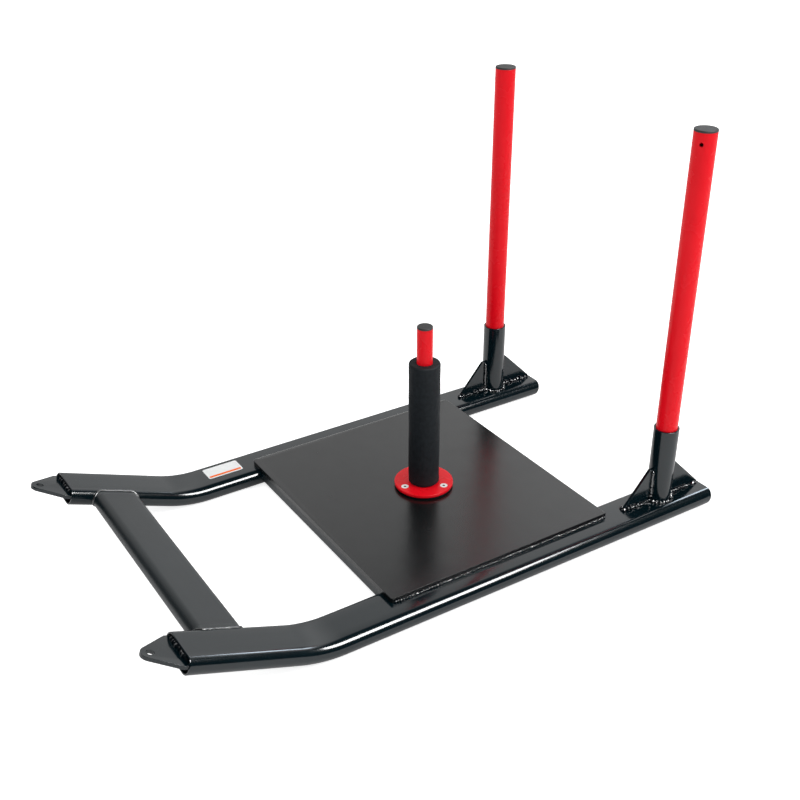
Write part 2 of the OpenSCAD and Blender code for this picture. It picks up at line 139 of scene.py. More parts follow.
# Materials
class Nodes:
    """A node tree, with short calls for the nodes used here."""

    # The colour sockets of a Mix node
    MIX_A, MIX_B, MIX_OUT = 6, 7, 2

    def __init__(self, tree):
        self.tree = tree

    def node(self, kind, **settings):
        n = self.tree.nodes.new("ShaderNode" + kind)
        for key, value in settings.items():
            setattr(n, key, value)
        return n

    def link(self, a, b):
        self.tree.links.new(a, b)

    def compute(self, operation, *values):
        """A Math node on numbers and outputs."""
        n = self.node("Math", operation=operation)
        for value, socket in zip(values, n.inputs):
            if isinstance(value, (int, float)):
                socket.default_value = value
            else:
                self.link(value, socket)
        return n.outputs[0]

    def xyz(self, vector):
        """The outputs X, Y and Z."""
        n = self.node("SeparateXYZ")
        self.link(vector, n.inputs[0])
        return n.outputs

    def map_range(self, value, low, high, start, end, interpolation="LINEAR"):
        """start where value is low, end where it is high, and a ramp between."""
        n = self.node("MapRange", interpolation_type=interpolation)
        for key, limit in (("From Min", low), ("From Max", high), ("To Min", start), ("To Max", end)):
            n.inputs[key].default_value = limit
        self.link(value, n.inputs["Value"])
        return n.outputs["Result"]


class Shader(Nodes):
    """A material: its node tree, its shader and its object coordinates."""

    def __init__(self, name):
        self.material = bpy.data.materials.new(name)
        self.material.use_nodes = True
        super().__init__(self.material.node_tree)
        self.bsdf = self.tree.nodes["Principled BSDF"]
        self.place = self.node("TexCoord").outputs["Object"]

    def set(self, **values):
        for key, value in values.items():
            self.bsdf.inputs[key.replace("_", " ")].default_value = value

    def noise(self, scale, detail):
        n = self.node("TexNoise")
        n.inputs["Scale"].default_value = scale
        n.inputs["Detail"].default_value = detail
        self.link(self.place, n.inputs["Vector"])
        return n.outputs["Fac"]

    def ramp(self, value, dark, light, low=0.3, high=0.7):
        """A colour that goes from dark, where value is low, to light."""
        n = self.node("ValToRGB")
        for element, where, colour in zip(n.color_ramp.elements, (low, high), (dark, light)):
            element.position = where
            element.color = (*colour, 1)
        self.link(value, n.inputs["Fac"])
        return n.outputs["Color"]

    def mix(self, factor, a, b):
        """The colour a where factor is 0, and b, an output or a plain colour, where it is 1."""
        n = self.node("Mix", data_type="RGBA")
        self.link(factor, n.inputs["Factor"])
        self.link(a, n.inputs[self.MIX_A])
        if isinstance(b, tuple):
            n.inputs[self.MIX_B].default_value = (*b, 1)
        else:
            self.link(b, n.inputs[self.MIX_B])
        return n.outputs[self.MIX_OUT]

    def colour(self, output):
        self.link(output, self.bsdf.inputs["Base Color"])

    def rough(self, output):
        self.link(output, self.bsdf.inputs["Roughness"])

    def bump(self, height, strength, distance, before=None):
        n = self.node("Bump")
        n.inputs["Strength"].default_value = strength
        n.inputs["Distance"].default_value = distance
        self.link(height, n.inputs["Height"])
        if before:
            self.link(before, n.inputs["Normal"])
        self.link(n.outputs["Normal"], self.bsdf.inputs["Normal"])
        return n.outputs["Normal"]


def powder_coat(name, dark, light, rough, peel, ior=1.58, dull=None, margin=0.0):
    """Baked powder coat: an orange-peel skin over slightly uneven colour.

    Where dull is given, the coat is that much rougher between the inner sides of the skids, and as far
    beyond them as margin says.
    """
    fade = 0.004
    s = Shader(name)
    s.set(IOR=ior)
    s.colour(s.ramp(s.noise(9, 4), dark, light))
    uneven = s.map_range(s.noise(30, 4), 0, 1, rough * 0.8, rough * 1.2)
    if dull is not None:
        edge = RUNNER_X - TUBE_W / 2 + margin
        off = s.compute("ABSOLUTE", s.xyz(s.place)["X"])
        uneven = s.compute("ADD", uneven, s.map_range(off, edge - fade, edge, dull, 0))
    s.rough(uneven)
    wave = s.bump(s.noise(60, 2), peel, 0.0012)
    s.bump(s.noise(900, 2), peel * 0.6, 0.00012, wave)
    return s.material


def make_foam():
    s = Shader("foam")
    s.set(IOR=1.35)
    s.colour(s.ramp(s.noise(160, 5), (0.003, 0.0062, 0.0095), (0.007, 0.0115, 0.0155)))
    s.rough(s.map_range(s.noise(240, 4), 0, 1, 0.6, 0.8))
    skin = s.bump(s.noise(55, 3), 0.25, 0.0012)
    s.bump(s.noise(1400, 3), 0.4, 0.0003, skin)
    return s.material


def make_cap_plastic():
    s = Shader("cap_plastic")
    s.set(IOR=1.47)
    s.colour(s.ramp(s.noise(350, 4), (0.02, 0.021, 0.022), (0.03, 0.031, 0.032)))
    s.rough(s.map_range(s.noise(500, 3), 0, 1, 0.45, 0.6))
    s.bump(s.noise(2500, 2), 0.35, 0.0002)
    return s.material


def make_pad_rubber():
    s = Shader("pad_rubber")
    s.set(IOR=1.35)
    s.colour(s.ramp(s.noise(300, 3), (0.003, 0.003, 0.003), (0.006, 0.006, 0.006)))
    s.rough(s.map_range(s.noise(400, 3), 0, 1, 0.6, 0.75))
    s.bump(s.noise(1500, 2), 0.3, 0.0002)
    return s.material


def make_zinc():
    """Bright plating. The screws' key holes, between their floor and their rim, are painted dark: painted
    shade in the recesses.
    """
    s = Shader("zinc")
    s.set(Metallic=0.85)
    plating = s.ramp(s.noise(400, 4), (0.8, 0.8, 0.78), (0.93, 0.93, 0.91))
    height = s.xyz(s.place)["Z"]
    under_rim = s.compute("LESS_THAN", height, FLANGE_TOP - 0.0003)
    over_floor = s.compute("GREATER_THAN", height, FLANGE_TOP - COUNTERSINK_DEPTH)
    # Painted shade: the key holes are coloured near black between their floor and their rim
    s.colour(s.mix(s.compute("MULTIPLY", under_rim, over_floor), plating, (0.02, 0.025, 0.03)))
    s.rough(s.map_range(s.noise(700, 3), 0, 1, 0.3, 0.45))
    s.bump(s.noise(900, 2), 0.2, 0.0001)
    return s.material


def make_label_film():
    """White film with a plain orange stripe near one long edge."""
    s = Shader("label_film")
    s.set(Roughness=0.35, IOR=1.25)
    blur = 0.00015

    def within(value, middle, half):
        """1 closer to middle than half, 0 further off, with a soft step."""
        off = s.compute("ABSOLUTE", s.compute("SUBTRACT", value, middle))
        return s.map_range(off, half - blur, half + blur, 1, 0)

    x, y = s.xyz(s.place)[:2]
    stripe = s.compute("MULTIPLY", within(x, 0.011, 0.0025), within(y, 0, 0.0285))
    paper = s.ramp(s.noise(120, 3), (0.86, 0.88, 0.88), (0.91, 0.93, 0.93))
    ink = s.ramp(s.noise(200, 3), (0.95, 0.12, 0.002), (0.98, 0.2, 0.004))
    s.colour(s.mix(stripe, paper, ink))
    s.bump(s.noise(60, 2), 0.2, 0.0003)
    return s.material


SLOT_MATERIALS = {
    "black_gloss": powder_coat("black_gloss", (0.0008, 0.0058, 0.0085), (0.0016, 0.0078, 0.0112),
                               rough=0.14, peel=0.05, dull=0.24),
    "black_satin": powder_coat("black_satin", (0.0025, 0.0035, 0.004), (0.004, 0.005, 0.0055),
                               rough=0.25, peel=0.06),
    "black_weld": powder_coat("black_weld", (0.001, 0.0035, 0.0055), (0.0025, 0.005, 0.0075),
                              rough=0.055, peel=0.3, ior=2.1, dull=0.3, margin=0.015),
    "red_gloss": powder_coat("red_gloss", (0.76, 0.0035, 0.011), (0.82, 0.0055, 0.0145),
                             rough=0.27, peel=0.05, ior=1.26),
    "foam": make_foam(),
    "cap_plastic": make_cap_plastic(),
    "pad_rubber": make_pad_rubber(),
    "zinc": make_zinc(),
    "label": make_label_film(),
}
for row in frame["record"]["subparts"]:
    slots = nodes[row["node"]].data.materials
    slots.clear()
    slots.append(SLOT_MATERIALS[row["material_slot"]])


# Mesh helpers
def solid_mesh(name, verts, faces):
    """A mesh with its faces turned outwards."""
    mesh = bpy.data.meshes.new(name)
    mesh.from_pydata([tuple(v) for v in verts], [], faces)
    tidy = bmesh.new()
    tidy.from_mesh(mesh)
    bmesh.ops.recalc_face_normals(tidy, faces=tidy.faces)
    tidy.to_mesh(mesh)
    tidy.free()
    return mesh


def shade(mesh, sharp=32):
    """Smooth shading, but for edges sharper than that many degrees."""
    mesh.shade_smooth()
    mesh.set_sharp_from_angle(angle=math.radians(sharp))


def add_piece(name, shell, body, slot, node, sharp=32, place=(0, 0, 0)):
    """A piece of the (verts, faces) in shell, which rides on body and stands for one CAD node."""
    mesh = solid_mesh(name, *shell)
    shade(mesh, sharp)
    mesh.materials.append(SLOT_MATERIALS[slot])
    piece = bpy.data.objects.new(name, mesh)
    scene.collection.objects.link(piece)
    piece.location = place
    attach(piece, body)
    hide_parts(node)
    return piece


def loft(rings, wrap=False):
    """Verts and faces of a skin over rings of equal count, closed by caps or back onto its first ring."""
    count = len(rings[0])
    verts = [p for ring in rings for p in ring]
    faces = []
    for i in range(len(rings) if wrap else len(rings) - 1):
        a, b = i * count, (i + 1) % len(rings) * count
        for j in range(count):
            k = (j + 1) % count
            faces.append((a + j, a + k, b + k, b + j))
    if not wrap:
        faces.append(tuple(reversed(range(count))))
        faces.append(tuple(range(len(verts) - count, len(verts))))
    return verts, faces


def join(shells):
    """Several (verts, faces) as one."""
    verts, faces = [], []
    for v, f in shells:
        start = len(verts)
        verts += v
        faces += [tuple(i + start for i in face) for face in f]
    return verts, faces


def rounded(points, radii, steps):
    """A closed polygon with its corners rounded, by one radius for each corner."""
    out = []
    for i, r in enumerate(radii):
        p = Vector(points[i])
        to_last = (Vector(points[i - 1]) - p).normalized()
        to_next = (Vector(points[(i + 1) % len(points)]) - p).normalized()
        half = to_last.angle(to_next) / 2
        centre = p + (to_last + to_next).normalized() * (r / math.sin(half))
        start = p + to_last * (r / math.tan(half)) - centre
        end = p + to_next * (r / math.tan(half)) - centre
        swing = math.atan2(start.x * end.y - start.y * end.x, start.dot(end))
        for k in range(steps + 1):
            a = swing * k / steps
            out.append(centre + Vector((start.x * math.cos(a) - start.y * math.sin(a),
                                        start.x * math.sin(a) + start.y * math.cos(a))))
    return out


def lathe(profile, x, y, turns):
    """A closed profile of (radius, height) turned round the vertical line through x, y."""
    rings = []
    for i in range(turns):
        a = 2 * math.pi * i / turns
        rings.append([Vector((x + r * math.cos(a), y + r * math.sin(a), z)) for r, z in profile])
    return loft(rings, wrap=True)


def tube_profile(inner, outer, low, high, edge=0.0005, inner_edge=0.0004):
    """The cut face of a tube or disc with a hole: its outer edges are rounded by edge."""
    return rounded([(inner, low), (outer, low), (outer, high), (inner, high)],
                   [inner_edge, edge, edge, inner_edge], 5)


def cone_cutter(start, end, start_r, end_r, turns=48):
    """A straight rod or cone to cut with."""
    start, end = Vector(start), Vector(end)
    axis = (end - start).normalized()
    a = axis.orthogonal().normalized()
    b = axis.cross(a)
    angles = [2 * math.pi * j / turns for j in range(turns)]
    rings = [[centre + (a * math.cos(t) + b * math.sin(t)) * r for t in angles]
             for centre, r in ((start, start_r), (end, end_r))]
    cutter = bpy.data.objects.new("cutter", solid_mesh("cutter", *loft(rings)))
    scene.collection.objects.link(cutter)
    return cutter


def cut(piece, cutters):
    """Cuts the cutters out of the piece, and removes them."""
    for cutter in cutters:
        mod = piece.modifiers.new("cut", "BOOLEAN")
        mod.object = cutter
        mod.operation = "DIFFERENCE"
        mod.solver = "EXACT"
    evaluated = piece.evaluated_get(bpy.context.evaluated_depsgraph_get())
    mesh = bpy.data.meshes.new_from_object(evaluated)
    piece.modifiers.clear()
    shade(mesh)
    piece.data = mesh
    for cutter in cutters:
        bpy.data.objects.remove(cutter)


def quarter(steps):
    """Angles from 0 to a right angle."""
    return [math.pi / 2 * k / steps for k in range(steps + 1)]


# The skids
def oval(width, height, steps=20, flats=4):
    """Points of a flat oval, as (across, up)."""
    r = height / 2
    half = width / 2 - r
    points = []
    for side in SIDES:
        for k in range(steps + 1):
            a = -math.pi / 2 + math.pi * k / steps
            points.append((side * (half + r * math.cos(a)), side * r * math.sin(a)))
        for k in range(1, flats):
            points.append((side * half * (1 - 2 * k / flats), side * r))
    return points


def facing(x, h, width, height):
    """The direction that a flat oval's skin faces at (x, h)."""
    half = (width - height) / 2
    return Vector((x - math.copysign(min(abs(x), half), x), h)).normalized()


# Rings this far behind each lip keep the skin flat up to the lip
NEAR_LIP = (0.0015, 0.025)


def runner_stations():
    """(point, up) along a skid's middle line, from the rear end to the mouth."""
    flat_steps, bend_steps = 8, 28
    stations = []
    for back in [0, *NEAR_LIP] + [GROUND_LEN * k / flat_steps for k in range(1, flat_steps + 1)]:
        stations.append((Vector((0, REAR_Y - back, MID_Z)), UP))
    for k in range(1, bend_steps + 1):
        a = TILT * k / bend_steps
        point = Vector((0, BEND_Y - BEND_R * math.sin(a), MID_Z + BEND_R * (1 - math.cos(a))))
        stations.append((point, Vector((0, math.sin(a), math.cos(a)))))
    near_mouth = [FRONT_LEN - back for back in reversed(NEAR_LIP)]
    for reach in [FRONT_LEN / 3, FRONT_LEN * 2 / 3, *near_mouth, FRONT_LEN]:
        stations.append((BEND_END + ALONG_FRONT * reach, UP_FRONT))
    return stations


def runner(side):
    """A skid's tube, along its outside and back along its inside, with a rounded lip at each end."""
    lip = 0.0006
    rear, *between, mouth = runner_stations()
    forwards, into_mouth = Vector((0, -1, 0)), -ALONG_FRONT

    def ring(outline, point, up, grow=0.0, slant=0.0):
        """The outline round point, grown by grow, its lower part moved forwards by slant."""
        out = []
        for x, h in outline:
            away = facing(x, h, TUBE_W, TUBE_H)
            across = Vector((side * RUNNER_X + x + away.x * grow, 0, 0))
            cut_back = forwards * slant * (MID_Z - h)
            out.append(point + cut_back + across + up * (h + away.y * grow))
        return out

    def lip_rings(outline, station, inwards, grow, slant=0.0):
        """Round the lip, from the tube's end onto the outline."""
        point, up = station
        return [ring(outline, point + inwards * lip * (1 - math.cos(a)), up, grow * (1 - math.sin(a)), slant)
                for a in quarter(3)]

    def long_rings(outline):
        """Between the lips. The first ring leans as the rear cut does."""
        return [ring(outline, point, up, slant=0.0 if k else math.tan(REAR_CUT))
                for k, (point, up) in enumerate(between)]

    outer = oval(TUBE_W, TUBE_H)
    inner = oval(TUBE_W - 2 * TUBE_WALL, TUBE_H - 2 * TUBE_WALL)
    rings = lip_rings(outer, rear, forwards, -lip, math.tan(REAR_CUT))
    rings += long_rings(outer)
    rings += lip_rings(outer, mouth, into_mouth, -lip)[::-1]
    rings += lip_rings(inner, mouth, into_mouth, lip)
    rings += long_rings(inner)[::-1]
    rings += lip_rings(inner, rear, forwards, lip, math.tan(REAR_CUT))[::-1]
    name = SIDES[side]
    add_piece(name + "_runner_tube", loft(rings, wrap=True), "frame", "black_gloss", name + "_runner")


for side in SIDES:
    runner(side)


# Weld beads
def bead(path, radius, lift, seed, pitch, depth, lumps, rugged=0.0, around=14, closed=False):
    """A weld bead along path, a list of (point, outward), with ripples like a stack of coins.

    In radii, lift is how far the bead's middle stands out, depth how deep the ripples are and lumps how
    much the radius wanders. pitch is the ripples' length, and rugged the height of the grain.
    """
    points = [Vector(p) for p, n in path]
    outs = [Vector(n).normalized() for p, n in path]
    lengths = [0.0]
    for p, q in zip(points, points[1:]):
        lengths.append(lengths[-1] + (q - p).length)
    total = lengths[-1] + ((points[0] - points[-1]).length if closed else 0)
    rings_per_ripple = 6
    count = max(12, int(total / (pitch / rings_per_ripple)))
    if closed:
        points, outs, lengths = points + points[:1], outs + outs[:1], lengths + [total]

    def at(s):
        """The point and the outward direction at length s."""
        s = s % total if closed else min(max(s, 0), total)
        i = 0
        while i < len(lengths) - 2 and lengths[i + 1] < s:
            i += 1
        t = (s - lengths[i]) / max(1e-9, lengths[i + 1] - lengths[i])
        return points[i].lerp(points[i + 1], t), outs[i].lerp(outs[i + 1], t).normalized()

    def wave(s, per_metre, phase, row):
        """Smooth noise along the bead, different for each seed and row."""
        return noise.noise(Vector((s * per_metre, seed * phase, row)))

    look = 0.0006
    rings = []
    for i in range(count if closed else count + 1):
        s = total * i / count
        p, n = at(s)
        along = (at(s + look)[0] - at(s - look)[0]).normalized()
        across = along.cross(n).normalized()
        n = across.cross(along).normalized()
        end = 1.0
        if not closed:
            # Both ends close in a round nose
            short = 1 - min(1.0, min(s, total - s) / (radius * 1.2))
            end = math.sqrt(max(0.0, 1 - short * short)) * 0.85 + 0.15
        wander = 1 + lumps * wave(s, 90, 7.3, 0.5) + 0.5 * lumps * wave(s, 300, 3.1, 9.5)
        shift = across * radius * 0.25 * wave(s, 110, 5.7, 4.5)
        unsteady = 0.6 * wave(s, 60, 2.9, 2.5)
        ring = []
        for j in range(around):
            psi = 2 * math.pi * j / around
            bow = 0.55 * (1 - math.cos(psi)) / 2
            phase = (s / pitch + bow + unsteady) % 1
            coin = 1 - depth * (2 * phase - 1) ** 2
            r = radius * end * wander * coin
            spot = p + n * (lift * radius * end + r * math.cos(psi)) + across * (r * math.sin(psi)) + shift
            coarse = noise.noise(spot * 280 + Vector((seed, 0, 0)))
            fine = noise.noise(spot * 620 + Vector((0, seed, 0)))
            out = n * math.cos(psi) + across * math.sin(psi)
            ring.append(spot + out * (rugged * end * (coarse + 0.5 * fine)))
        rings.append(ring)
    return loft(rings, wrap=closed)


def add_beads(name, shells, node):
    add_piece(name, join(shells), "frame", "black_weld", node, sharp=80)


def arc(centre, radius, start, end, steps):
    """Points and outward directions on a horizontal arc, from start to end in degrees."""
    out = []
    for k in range(steps + 1):
        a = math.radians(start + (end - start) * k / steps)
        n = Vector((math.cos(a), math.sin(a), 0))
        out.append((Vector(centre) + n * radius, n))
    return out


def socket_welds(side):
    """A lumpy bead round the socket and its gussets, open at the rear toe, and the upright beads."""
    x0 = side * RUNNER_X
    half = GUSSET_T / 2
    turn = math.degrees(math.asin(half / SOCKET_R))
    # The bead's path stops just short of each gusset's toe
    front, rear = FRONT_TOE - 0.002, REAR_TOE - 0.0012
    foot_start, foot_steps = 0.03, 3

    def foot(edge, reach):
        """Points along one side of a gusset's foot, from beside the socket out to reach."""
        start = math.copysign(foot_start, reach)
        return [(Vector((x0 + edge * half, SOCKET_Y + start + (reach - start) * k / foot_steps, TUBE_H)),
                 Vector((edge, 0, 0)))
                for k in range(foot_steps + 1)]

    ring = foot(1, rear)[::-1]
    ring += arc((x0, SOCKET_Y, TUBE_H), SOCKET_R, 90 - turn, -90 + turn, 30)
    ring += foot(1, -front)
    ring += arc((x0, SOCKET_Y - front, TUBE_H), half, 0, -180, 8)[1:-1]
    ring += foot(-1, -front)[::-1]
    ring += arc((x0, SOCKET_Y, TUBE_H), SOCKET_R, 270 - turn, 90 + turn, 30)
    ring += foot(-1, rear)
    shells = [bead([(p, n + UP) for p, n in ring], 0.0037 - 0.0003 * side, 0.35, seed=3 + side,
                   pitch=0.0056, depth=0.75, lumps=1.0, rugged=0.0019)]
    for end in (-1, 1):
        for edge in (-1, 1):
            y = SOCKET_Y + end * math.sqrt(SOCKET_R ** 2 - half ** 2)
            upright = [(Vector((x0 + edge * half, y, TUBE_H + h)), Vector((edge, end, 0)))
                       for h in (0.002, 0.02, 0.04, GUSSET_H - 0.003)]
            shells.append(bead(upright, 0.0031, 0.3, seed=11 + end * 2 + edge + 5 * side,
                               pitch=0.006, depth=0.1, lumps=0.3, rugged=0.0003))
    add_beads(SIDES[side] + "_socket_beads", shells, SIDES[side] + "_socket_weld")


def deck_welds(side):
    """Three runs of bead along the deck's side, and a smooth return round its rear corner."""
    corner = DECK_CORNER_R[side]
    front = DECK_FRONT_Y + corner
    length = DECK_L - 2 * corner
    # Each run's start and end, as shares of the length, and its radius
    runs = ((0.0, 0.36, 0.0027), (0.362, 0.67, 0.0022), (0.672, 1.0, 0.0025))
    shells = []
    for k, (start, end, radius) in enumerate(runs):
        path = [(Vector((side * (DECK_W / 2), front + length * (start + (end - start) * t / 6), TUBE_H)),
                 Vector((side, 0, 1)))
                for t in range(7)]
        shells.append(bead(path, radius, 0.3, seed=20 + k + 4 * side,
                           pitch=0.0048, depth=0.8, lumps=0.7, rugged=0.0014))
    corner_x, step = DECK_W / 2 - corner, 0.005
    path = [(Vector((side * (corner_x - step * t), DECK_REAR_Y - 0.0003, TUBE_H)), Vector((0, 1, 1)))
            for t in range(5)]
    shells.append(bead(path, 0.0019, 0.2, seed=31 + 4 * side, pitch=0.006, depth=0.05, lumps=0.15))
    add_beads(SIDES[side] + "_deck_bead", shells, SIDES[side] + "_deck_weld")


def crossbar():
    """The bar between the skids' front sections, coped round them, and the smooth bead at each end."""
    bar = oval(CROSSBAR_W, CROSSBAR_H)
    centre = MOUTH - ALONG_FRONT * CROSSBAR_BACK
    skid_half = (TUBE_W - TUBE_H) / 2
    reach = [RUNNER_X - skid_half - math.sqrt((MID_Z + 0.0001) ** 2 - h ** 2) for y, h in bar]
    steps = 12
    rings = []
    for k in range(steps + 1):
        t = 2 * k / steps - 1
        rings.append([centre - ALONG_FRONT * y + UP_FRONT * h + Vector((t * r, 0, 0))
                      for (y, h), r in zip(bar, reach)])
    add_piece("crossbar_tube", loft(rings), "frame", "black_gloss", "crossbar")
    for side, name in SIDES.items():
        path = []
        for (y, h), r in zip(bar, reach):
            away = facing(y, h, CROSSBAR_W, CROSSBAR_H)
            point = centre - ALONG_FRONT * y + UP_FRONT * h + Vector((side * (r - 0.0004), 0, 0))
            path.append((point, UP_FRONT * away.y - ALONG_FRONT * away.x - Vector((side * 0.6, 0, 0))))
        shell = bead(path, 0.0022, 0.0, seed=40 + side,
                     pitch=0.008, depth=0.02, lumps=0.1, around=10, closed=True)
        add_beads(name + "_crossbar_bead", [shell], name + "_crossbar_weld")


def in_mouth(side, across, back, up):
    """A point by its place in a skid's mouth: across it, back from it and up from its middle."""
    return MOUTH - ALONG_FRONT * back + UP_FRONT * up + Vector((side * RUNNER_X + across, 0, 0))


def tow_ear(side):
    """The plate in a skid's mouth: straight flanks, a rounded tip with its hole, and softened edges."""
    corner = Vector((EAR_HALF, EAR_REACH - EAR_SHOULDER))
    turn = math.atan2(corner.y, corner.x) - math.acos(EAR_TIP_R / corner.length)
    tip_steps = 32
    tip = []
    for k in range(tip_steps + 1):
        a = turn + (-math.pi - 2 * turn) * k / tip_steps
        tip.append((EAR_TIP_R * math.cos(a), EAR_TIP_R * math.sin(a) - EAR_REACH))
    flank = (EAR_HALF, -EAR_SHOULDER), (EAR_HALF, EAR_INSET)
    outline = [flank[1], flank[0], *tip] + [(-x, y) for x, y in flank]
    inwards = []
    for before, here, after in zip(outline[-1:] + outline, outline, outline[1:] + outline[:1]):
        arriving = (Vector(here) - Vector(before)).normalized()
        leaving = (Vector(after) - Vector(here)).normalized()
        along = (arriving + leaving).normalized()
        inwards.append(Vector((along.y, -along.x)))
    soft = 0.0002
    levels = [(soft * (1 - math.sin(a)), EAR_LIFT - EAR_T / 2 + soft * (1 - math.cos(a))) for a in quarter(4)]
    levels += [(soft * (1 - math.cos(a)), EAR_TOP - soft * (1 - math.sin(a))) for a in quarter(4)]
    rings = [[in_mouth(side, x + n.x * inset, y + n.y * inset, height) for (x, y), n in zip(outline, inwards)]
             for inset, height in levels]
    name = SIDES[side]
    ear = add_piece(name + "_tow_plate", loft(rings), "frame", "black_gloss", name + "_tow_ear")
    cut(ear, [cone_cutter(in_mouth(side, 0, -EAR_REACH, EAR_LIFT - EAR_T),
                          in_mouth(side, 0, -EAR_REACH, EAR_LIFT + EAR_T), TOW_HOLE_R, TOW_HOLE_R)])


def ear_welds(side):
    """Beads along both edges of an ear inside the tube, and lumps across the mouth under its upper wall."""
    step = 0.0088
    shells = []
    for edge in (-1, 1):
        path = [(in_mouth(side, edge * (EAR_HALF - 0.0025), 0.0005 + step * k, EAR_TOP + 0.0002),
                 UP_FRONT - Vector((edge, 0, 0)))
                for k in range(6)]
        shells.append(bead(path, 0.0027, 0.1, seed=50 + edge + 3 * side,
                           pitch=0.005, depth=0.3, lumps=0.6, rugged=0.0008))
    path = [(in_mouth(side, -0.028 + step * k, 0.0028, EAR_TOP), UP_FRONT + ALONG_FRONT * 0.6)
            for k in range(7)]
    shells.append(bead(path, 0.0036, 0.35, seed=57 + side,
                       pitch=0.008, depth=0.4, lumps=0.8, rugged=0.001))
    add_beads(SIDES[side] + "_ear_beads", shells, SIDES[side] + "_ear_weld")


def deck_bar_beads():
    """Four short beads along the inner face of each stiffening bar, under the deck."""
    spacing, length = 0.0855, 0.03
    shells = []
    for end in (-1, 1):
        y = DECK_Y + end * (DECK_L / 2 - BAR_INSET - BAR_T)
        for i in range(4):
            x0 = (i - 1.5) * spacing - length / 2
            path = [(Vector((x0 + length * t / 6, y, DECK_BOTTOM)), Vector((0, -end, -1))) for t in range(7)]
            shells.append(bead(path, 0.0024, 0.3, seed=60 + i + 10 * end,
                               pitch=0.004, depth=0.25, lumps=0.35))
    add_beads("deck_bar_beads", shells, "deck_bar_welds")


for side in SIDES:
    socket_welds(side)
    deck_welds(side)
    ear_welds(side)
crossbar()
deck_bar_beads()


# Plates and turned pieces
def deck():
    """The sheet: its top edge is rolled over on the far side and crisp on the near one."""
    x, y = DECK_W / 2, DECK_L / 2
    near, far = DECK_CORNER_R[1], DECK_CORNER_R[-1]
    edge = []
    for p in rounded([(x, -y), (x, y), (-x, y), (-x, -y)], [near, near, far, far], 8):
        corner = near if p.x > 0 else far
        core = Vector((math.copysign(x - corner, p.x), math.copysign(y - corner, p.y)))
        edge.append((p, (p - core).normalized()))

    def spot(p, away, inset, z):
        return Vector((p.x - away.x * inset, DECK_Y + p.y - away.y * inset, z))

    soft, steps = 0.0005, 12
    crisp, rear_roll, far_roll, far_spread = 0.00015, 0.002, 0.0045, 2.2
    rings = []
    for a in quarter(steps):
        inset, z = soft * (1 - math.sin(a)), DECK_BOTTOM + soft * (1 - math.cos(a))
        rings.append([spot(p, away, inset, z) for p, away in edge])
    for a in quarter(steps):
        ring = []
        for p, away in edge:
            to_far, to_rear = max(0, -away.x) ** 2, max(0, away.y) ** 2
            roll = crisp + far_roll * to_far + rear_roll * to_rear
            width = roll * (1 + far_spread * to_far)
            ring.append(spot(p, away, width * (1 - math.cos(a)), DECK_TOP - roll * (1 - math.sin(a))))
        rings.append(ring)
    add_piece("deck_sheet", loft(rings), "frame", "black_satin", "deck_plate")


deck()
for side in SIDES:
    tow_ear(side)


def flange():
    """The post's round foot, with a countersink for each of its three screws."""
    profile = tube_profile(FLANGE_BORE, FLANGE_R, PAD_TOP, FLANGE_TOP, 0.0012)
    piece = add_piece("flange_disc", lathe(profile, 0, POST_Y, 160), "frame", "red_gloss", "post_flange")
    tip_r, head_r, over = 0.0001, 0.0086, 0.0025
    cutters = []
    for degrees in (-90, 30, 150):
        a = math.radians(degrees)
        x, y = SCREW_RING_R * math.cos(a), POST_Y + SCREW_RING_R * math.sin(a)
        tip, head = (x, y, FLANGE_TOP - COUNTERSINK_DEPTH), (x, y, FLANGE_TOP + over)
        cutters.append(cone_cutter(tip, head, tip_r, head_r))
    cut(piece, cutters)


def weight_post():
    profile = tube_profile(POST_BORE, POST_R, PAD_TOP, PAD_TOP + POST_LEN)
    add_piece("weight_post", lathe(profile, 0, POST_Y, 96), "frame", "red_gloss", "post_tube")


def socket_and_pole(side):
    """A socket, and the pole in it with a hanging hole in its outer front."""
    name = SIDES[side]
    x = side * RUNNER_X
    socket = lathe(tube_profile(SOCKET_BORE, SOCKET_R, TUBE_H, SOCKET_TOP, 0.0006), x, SOCKET_Y, 112)
    add_piece(name + "_pole_socket", socket, "frame", "black_gloss", name + "_socket")
    tube = lathe(tube_profile(POLE_BORE, POLE_R, TUBE_H, POLE_TOP, 0.0004), x, SOCKET_Y, 112)
    pole = add_piece(name + "_push_pole", tube, name + "_pole", "red_gloss", name + "_pole")
    out = Vector((side * 0.5, -0.866, 0))
    middle = Vector((x, SOCKET_Y, POLE_TOP - HANG_HOLE_DROP))
    cut(pole, [cone_cutter(middle + out * 0.006, middle + out * 0.03, HANG_HOLE_R, HANG_HOLE_R, 32)])


flange()
weight_post()
for side in SIDES:
    socket_and_pole(side)


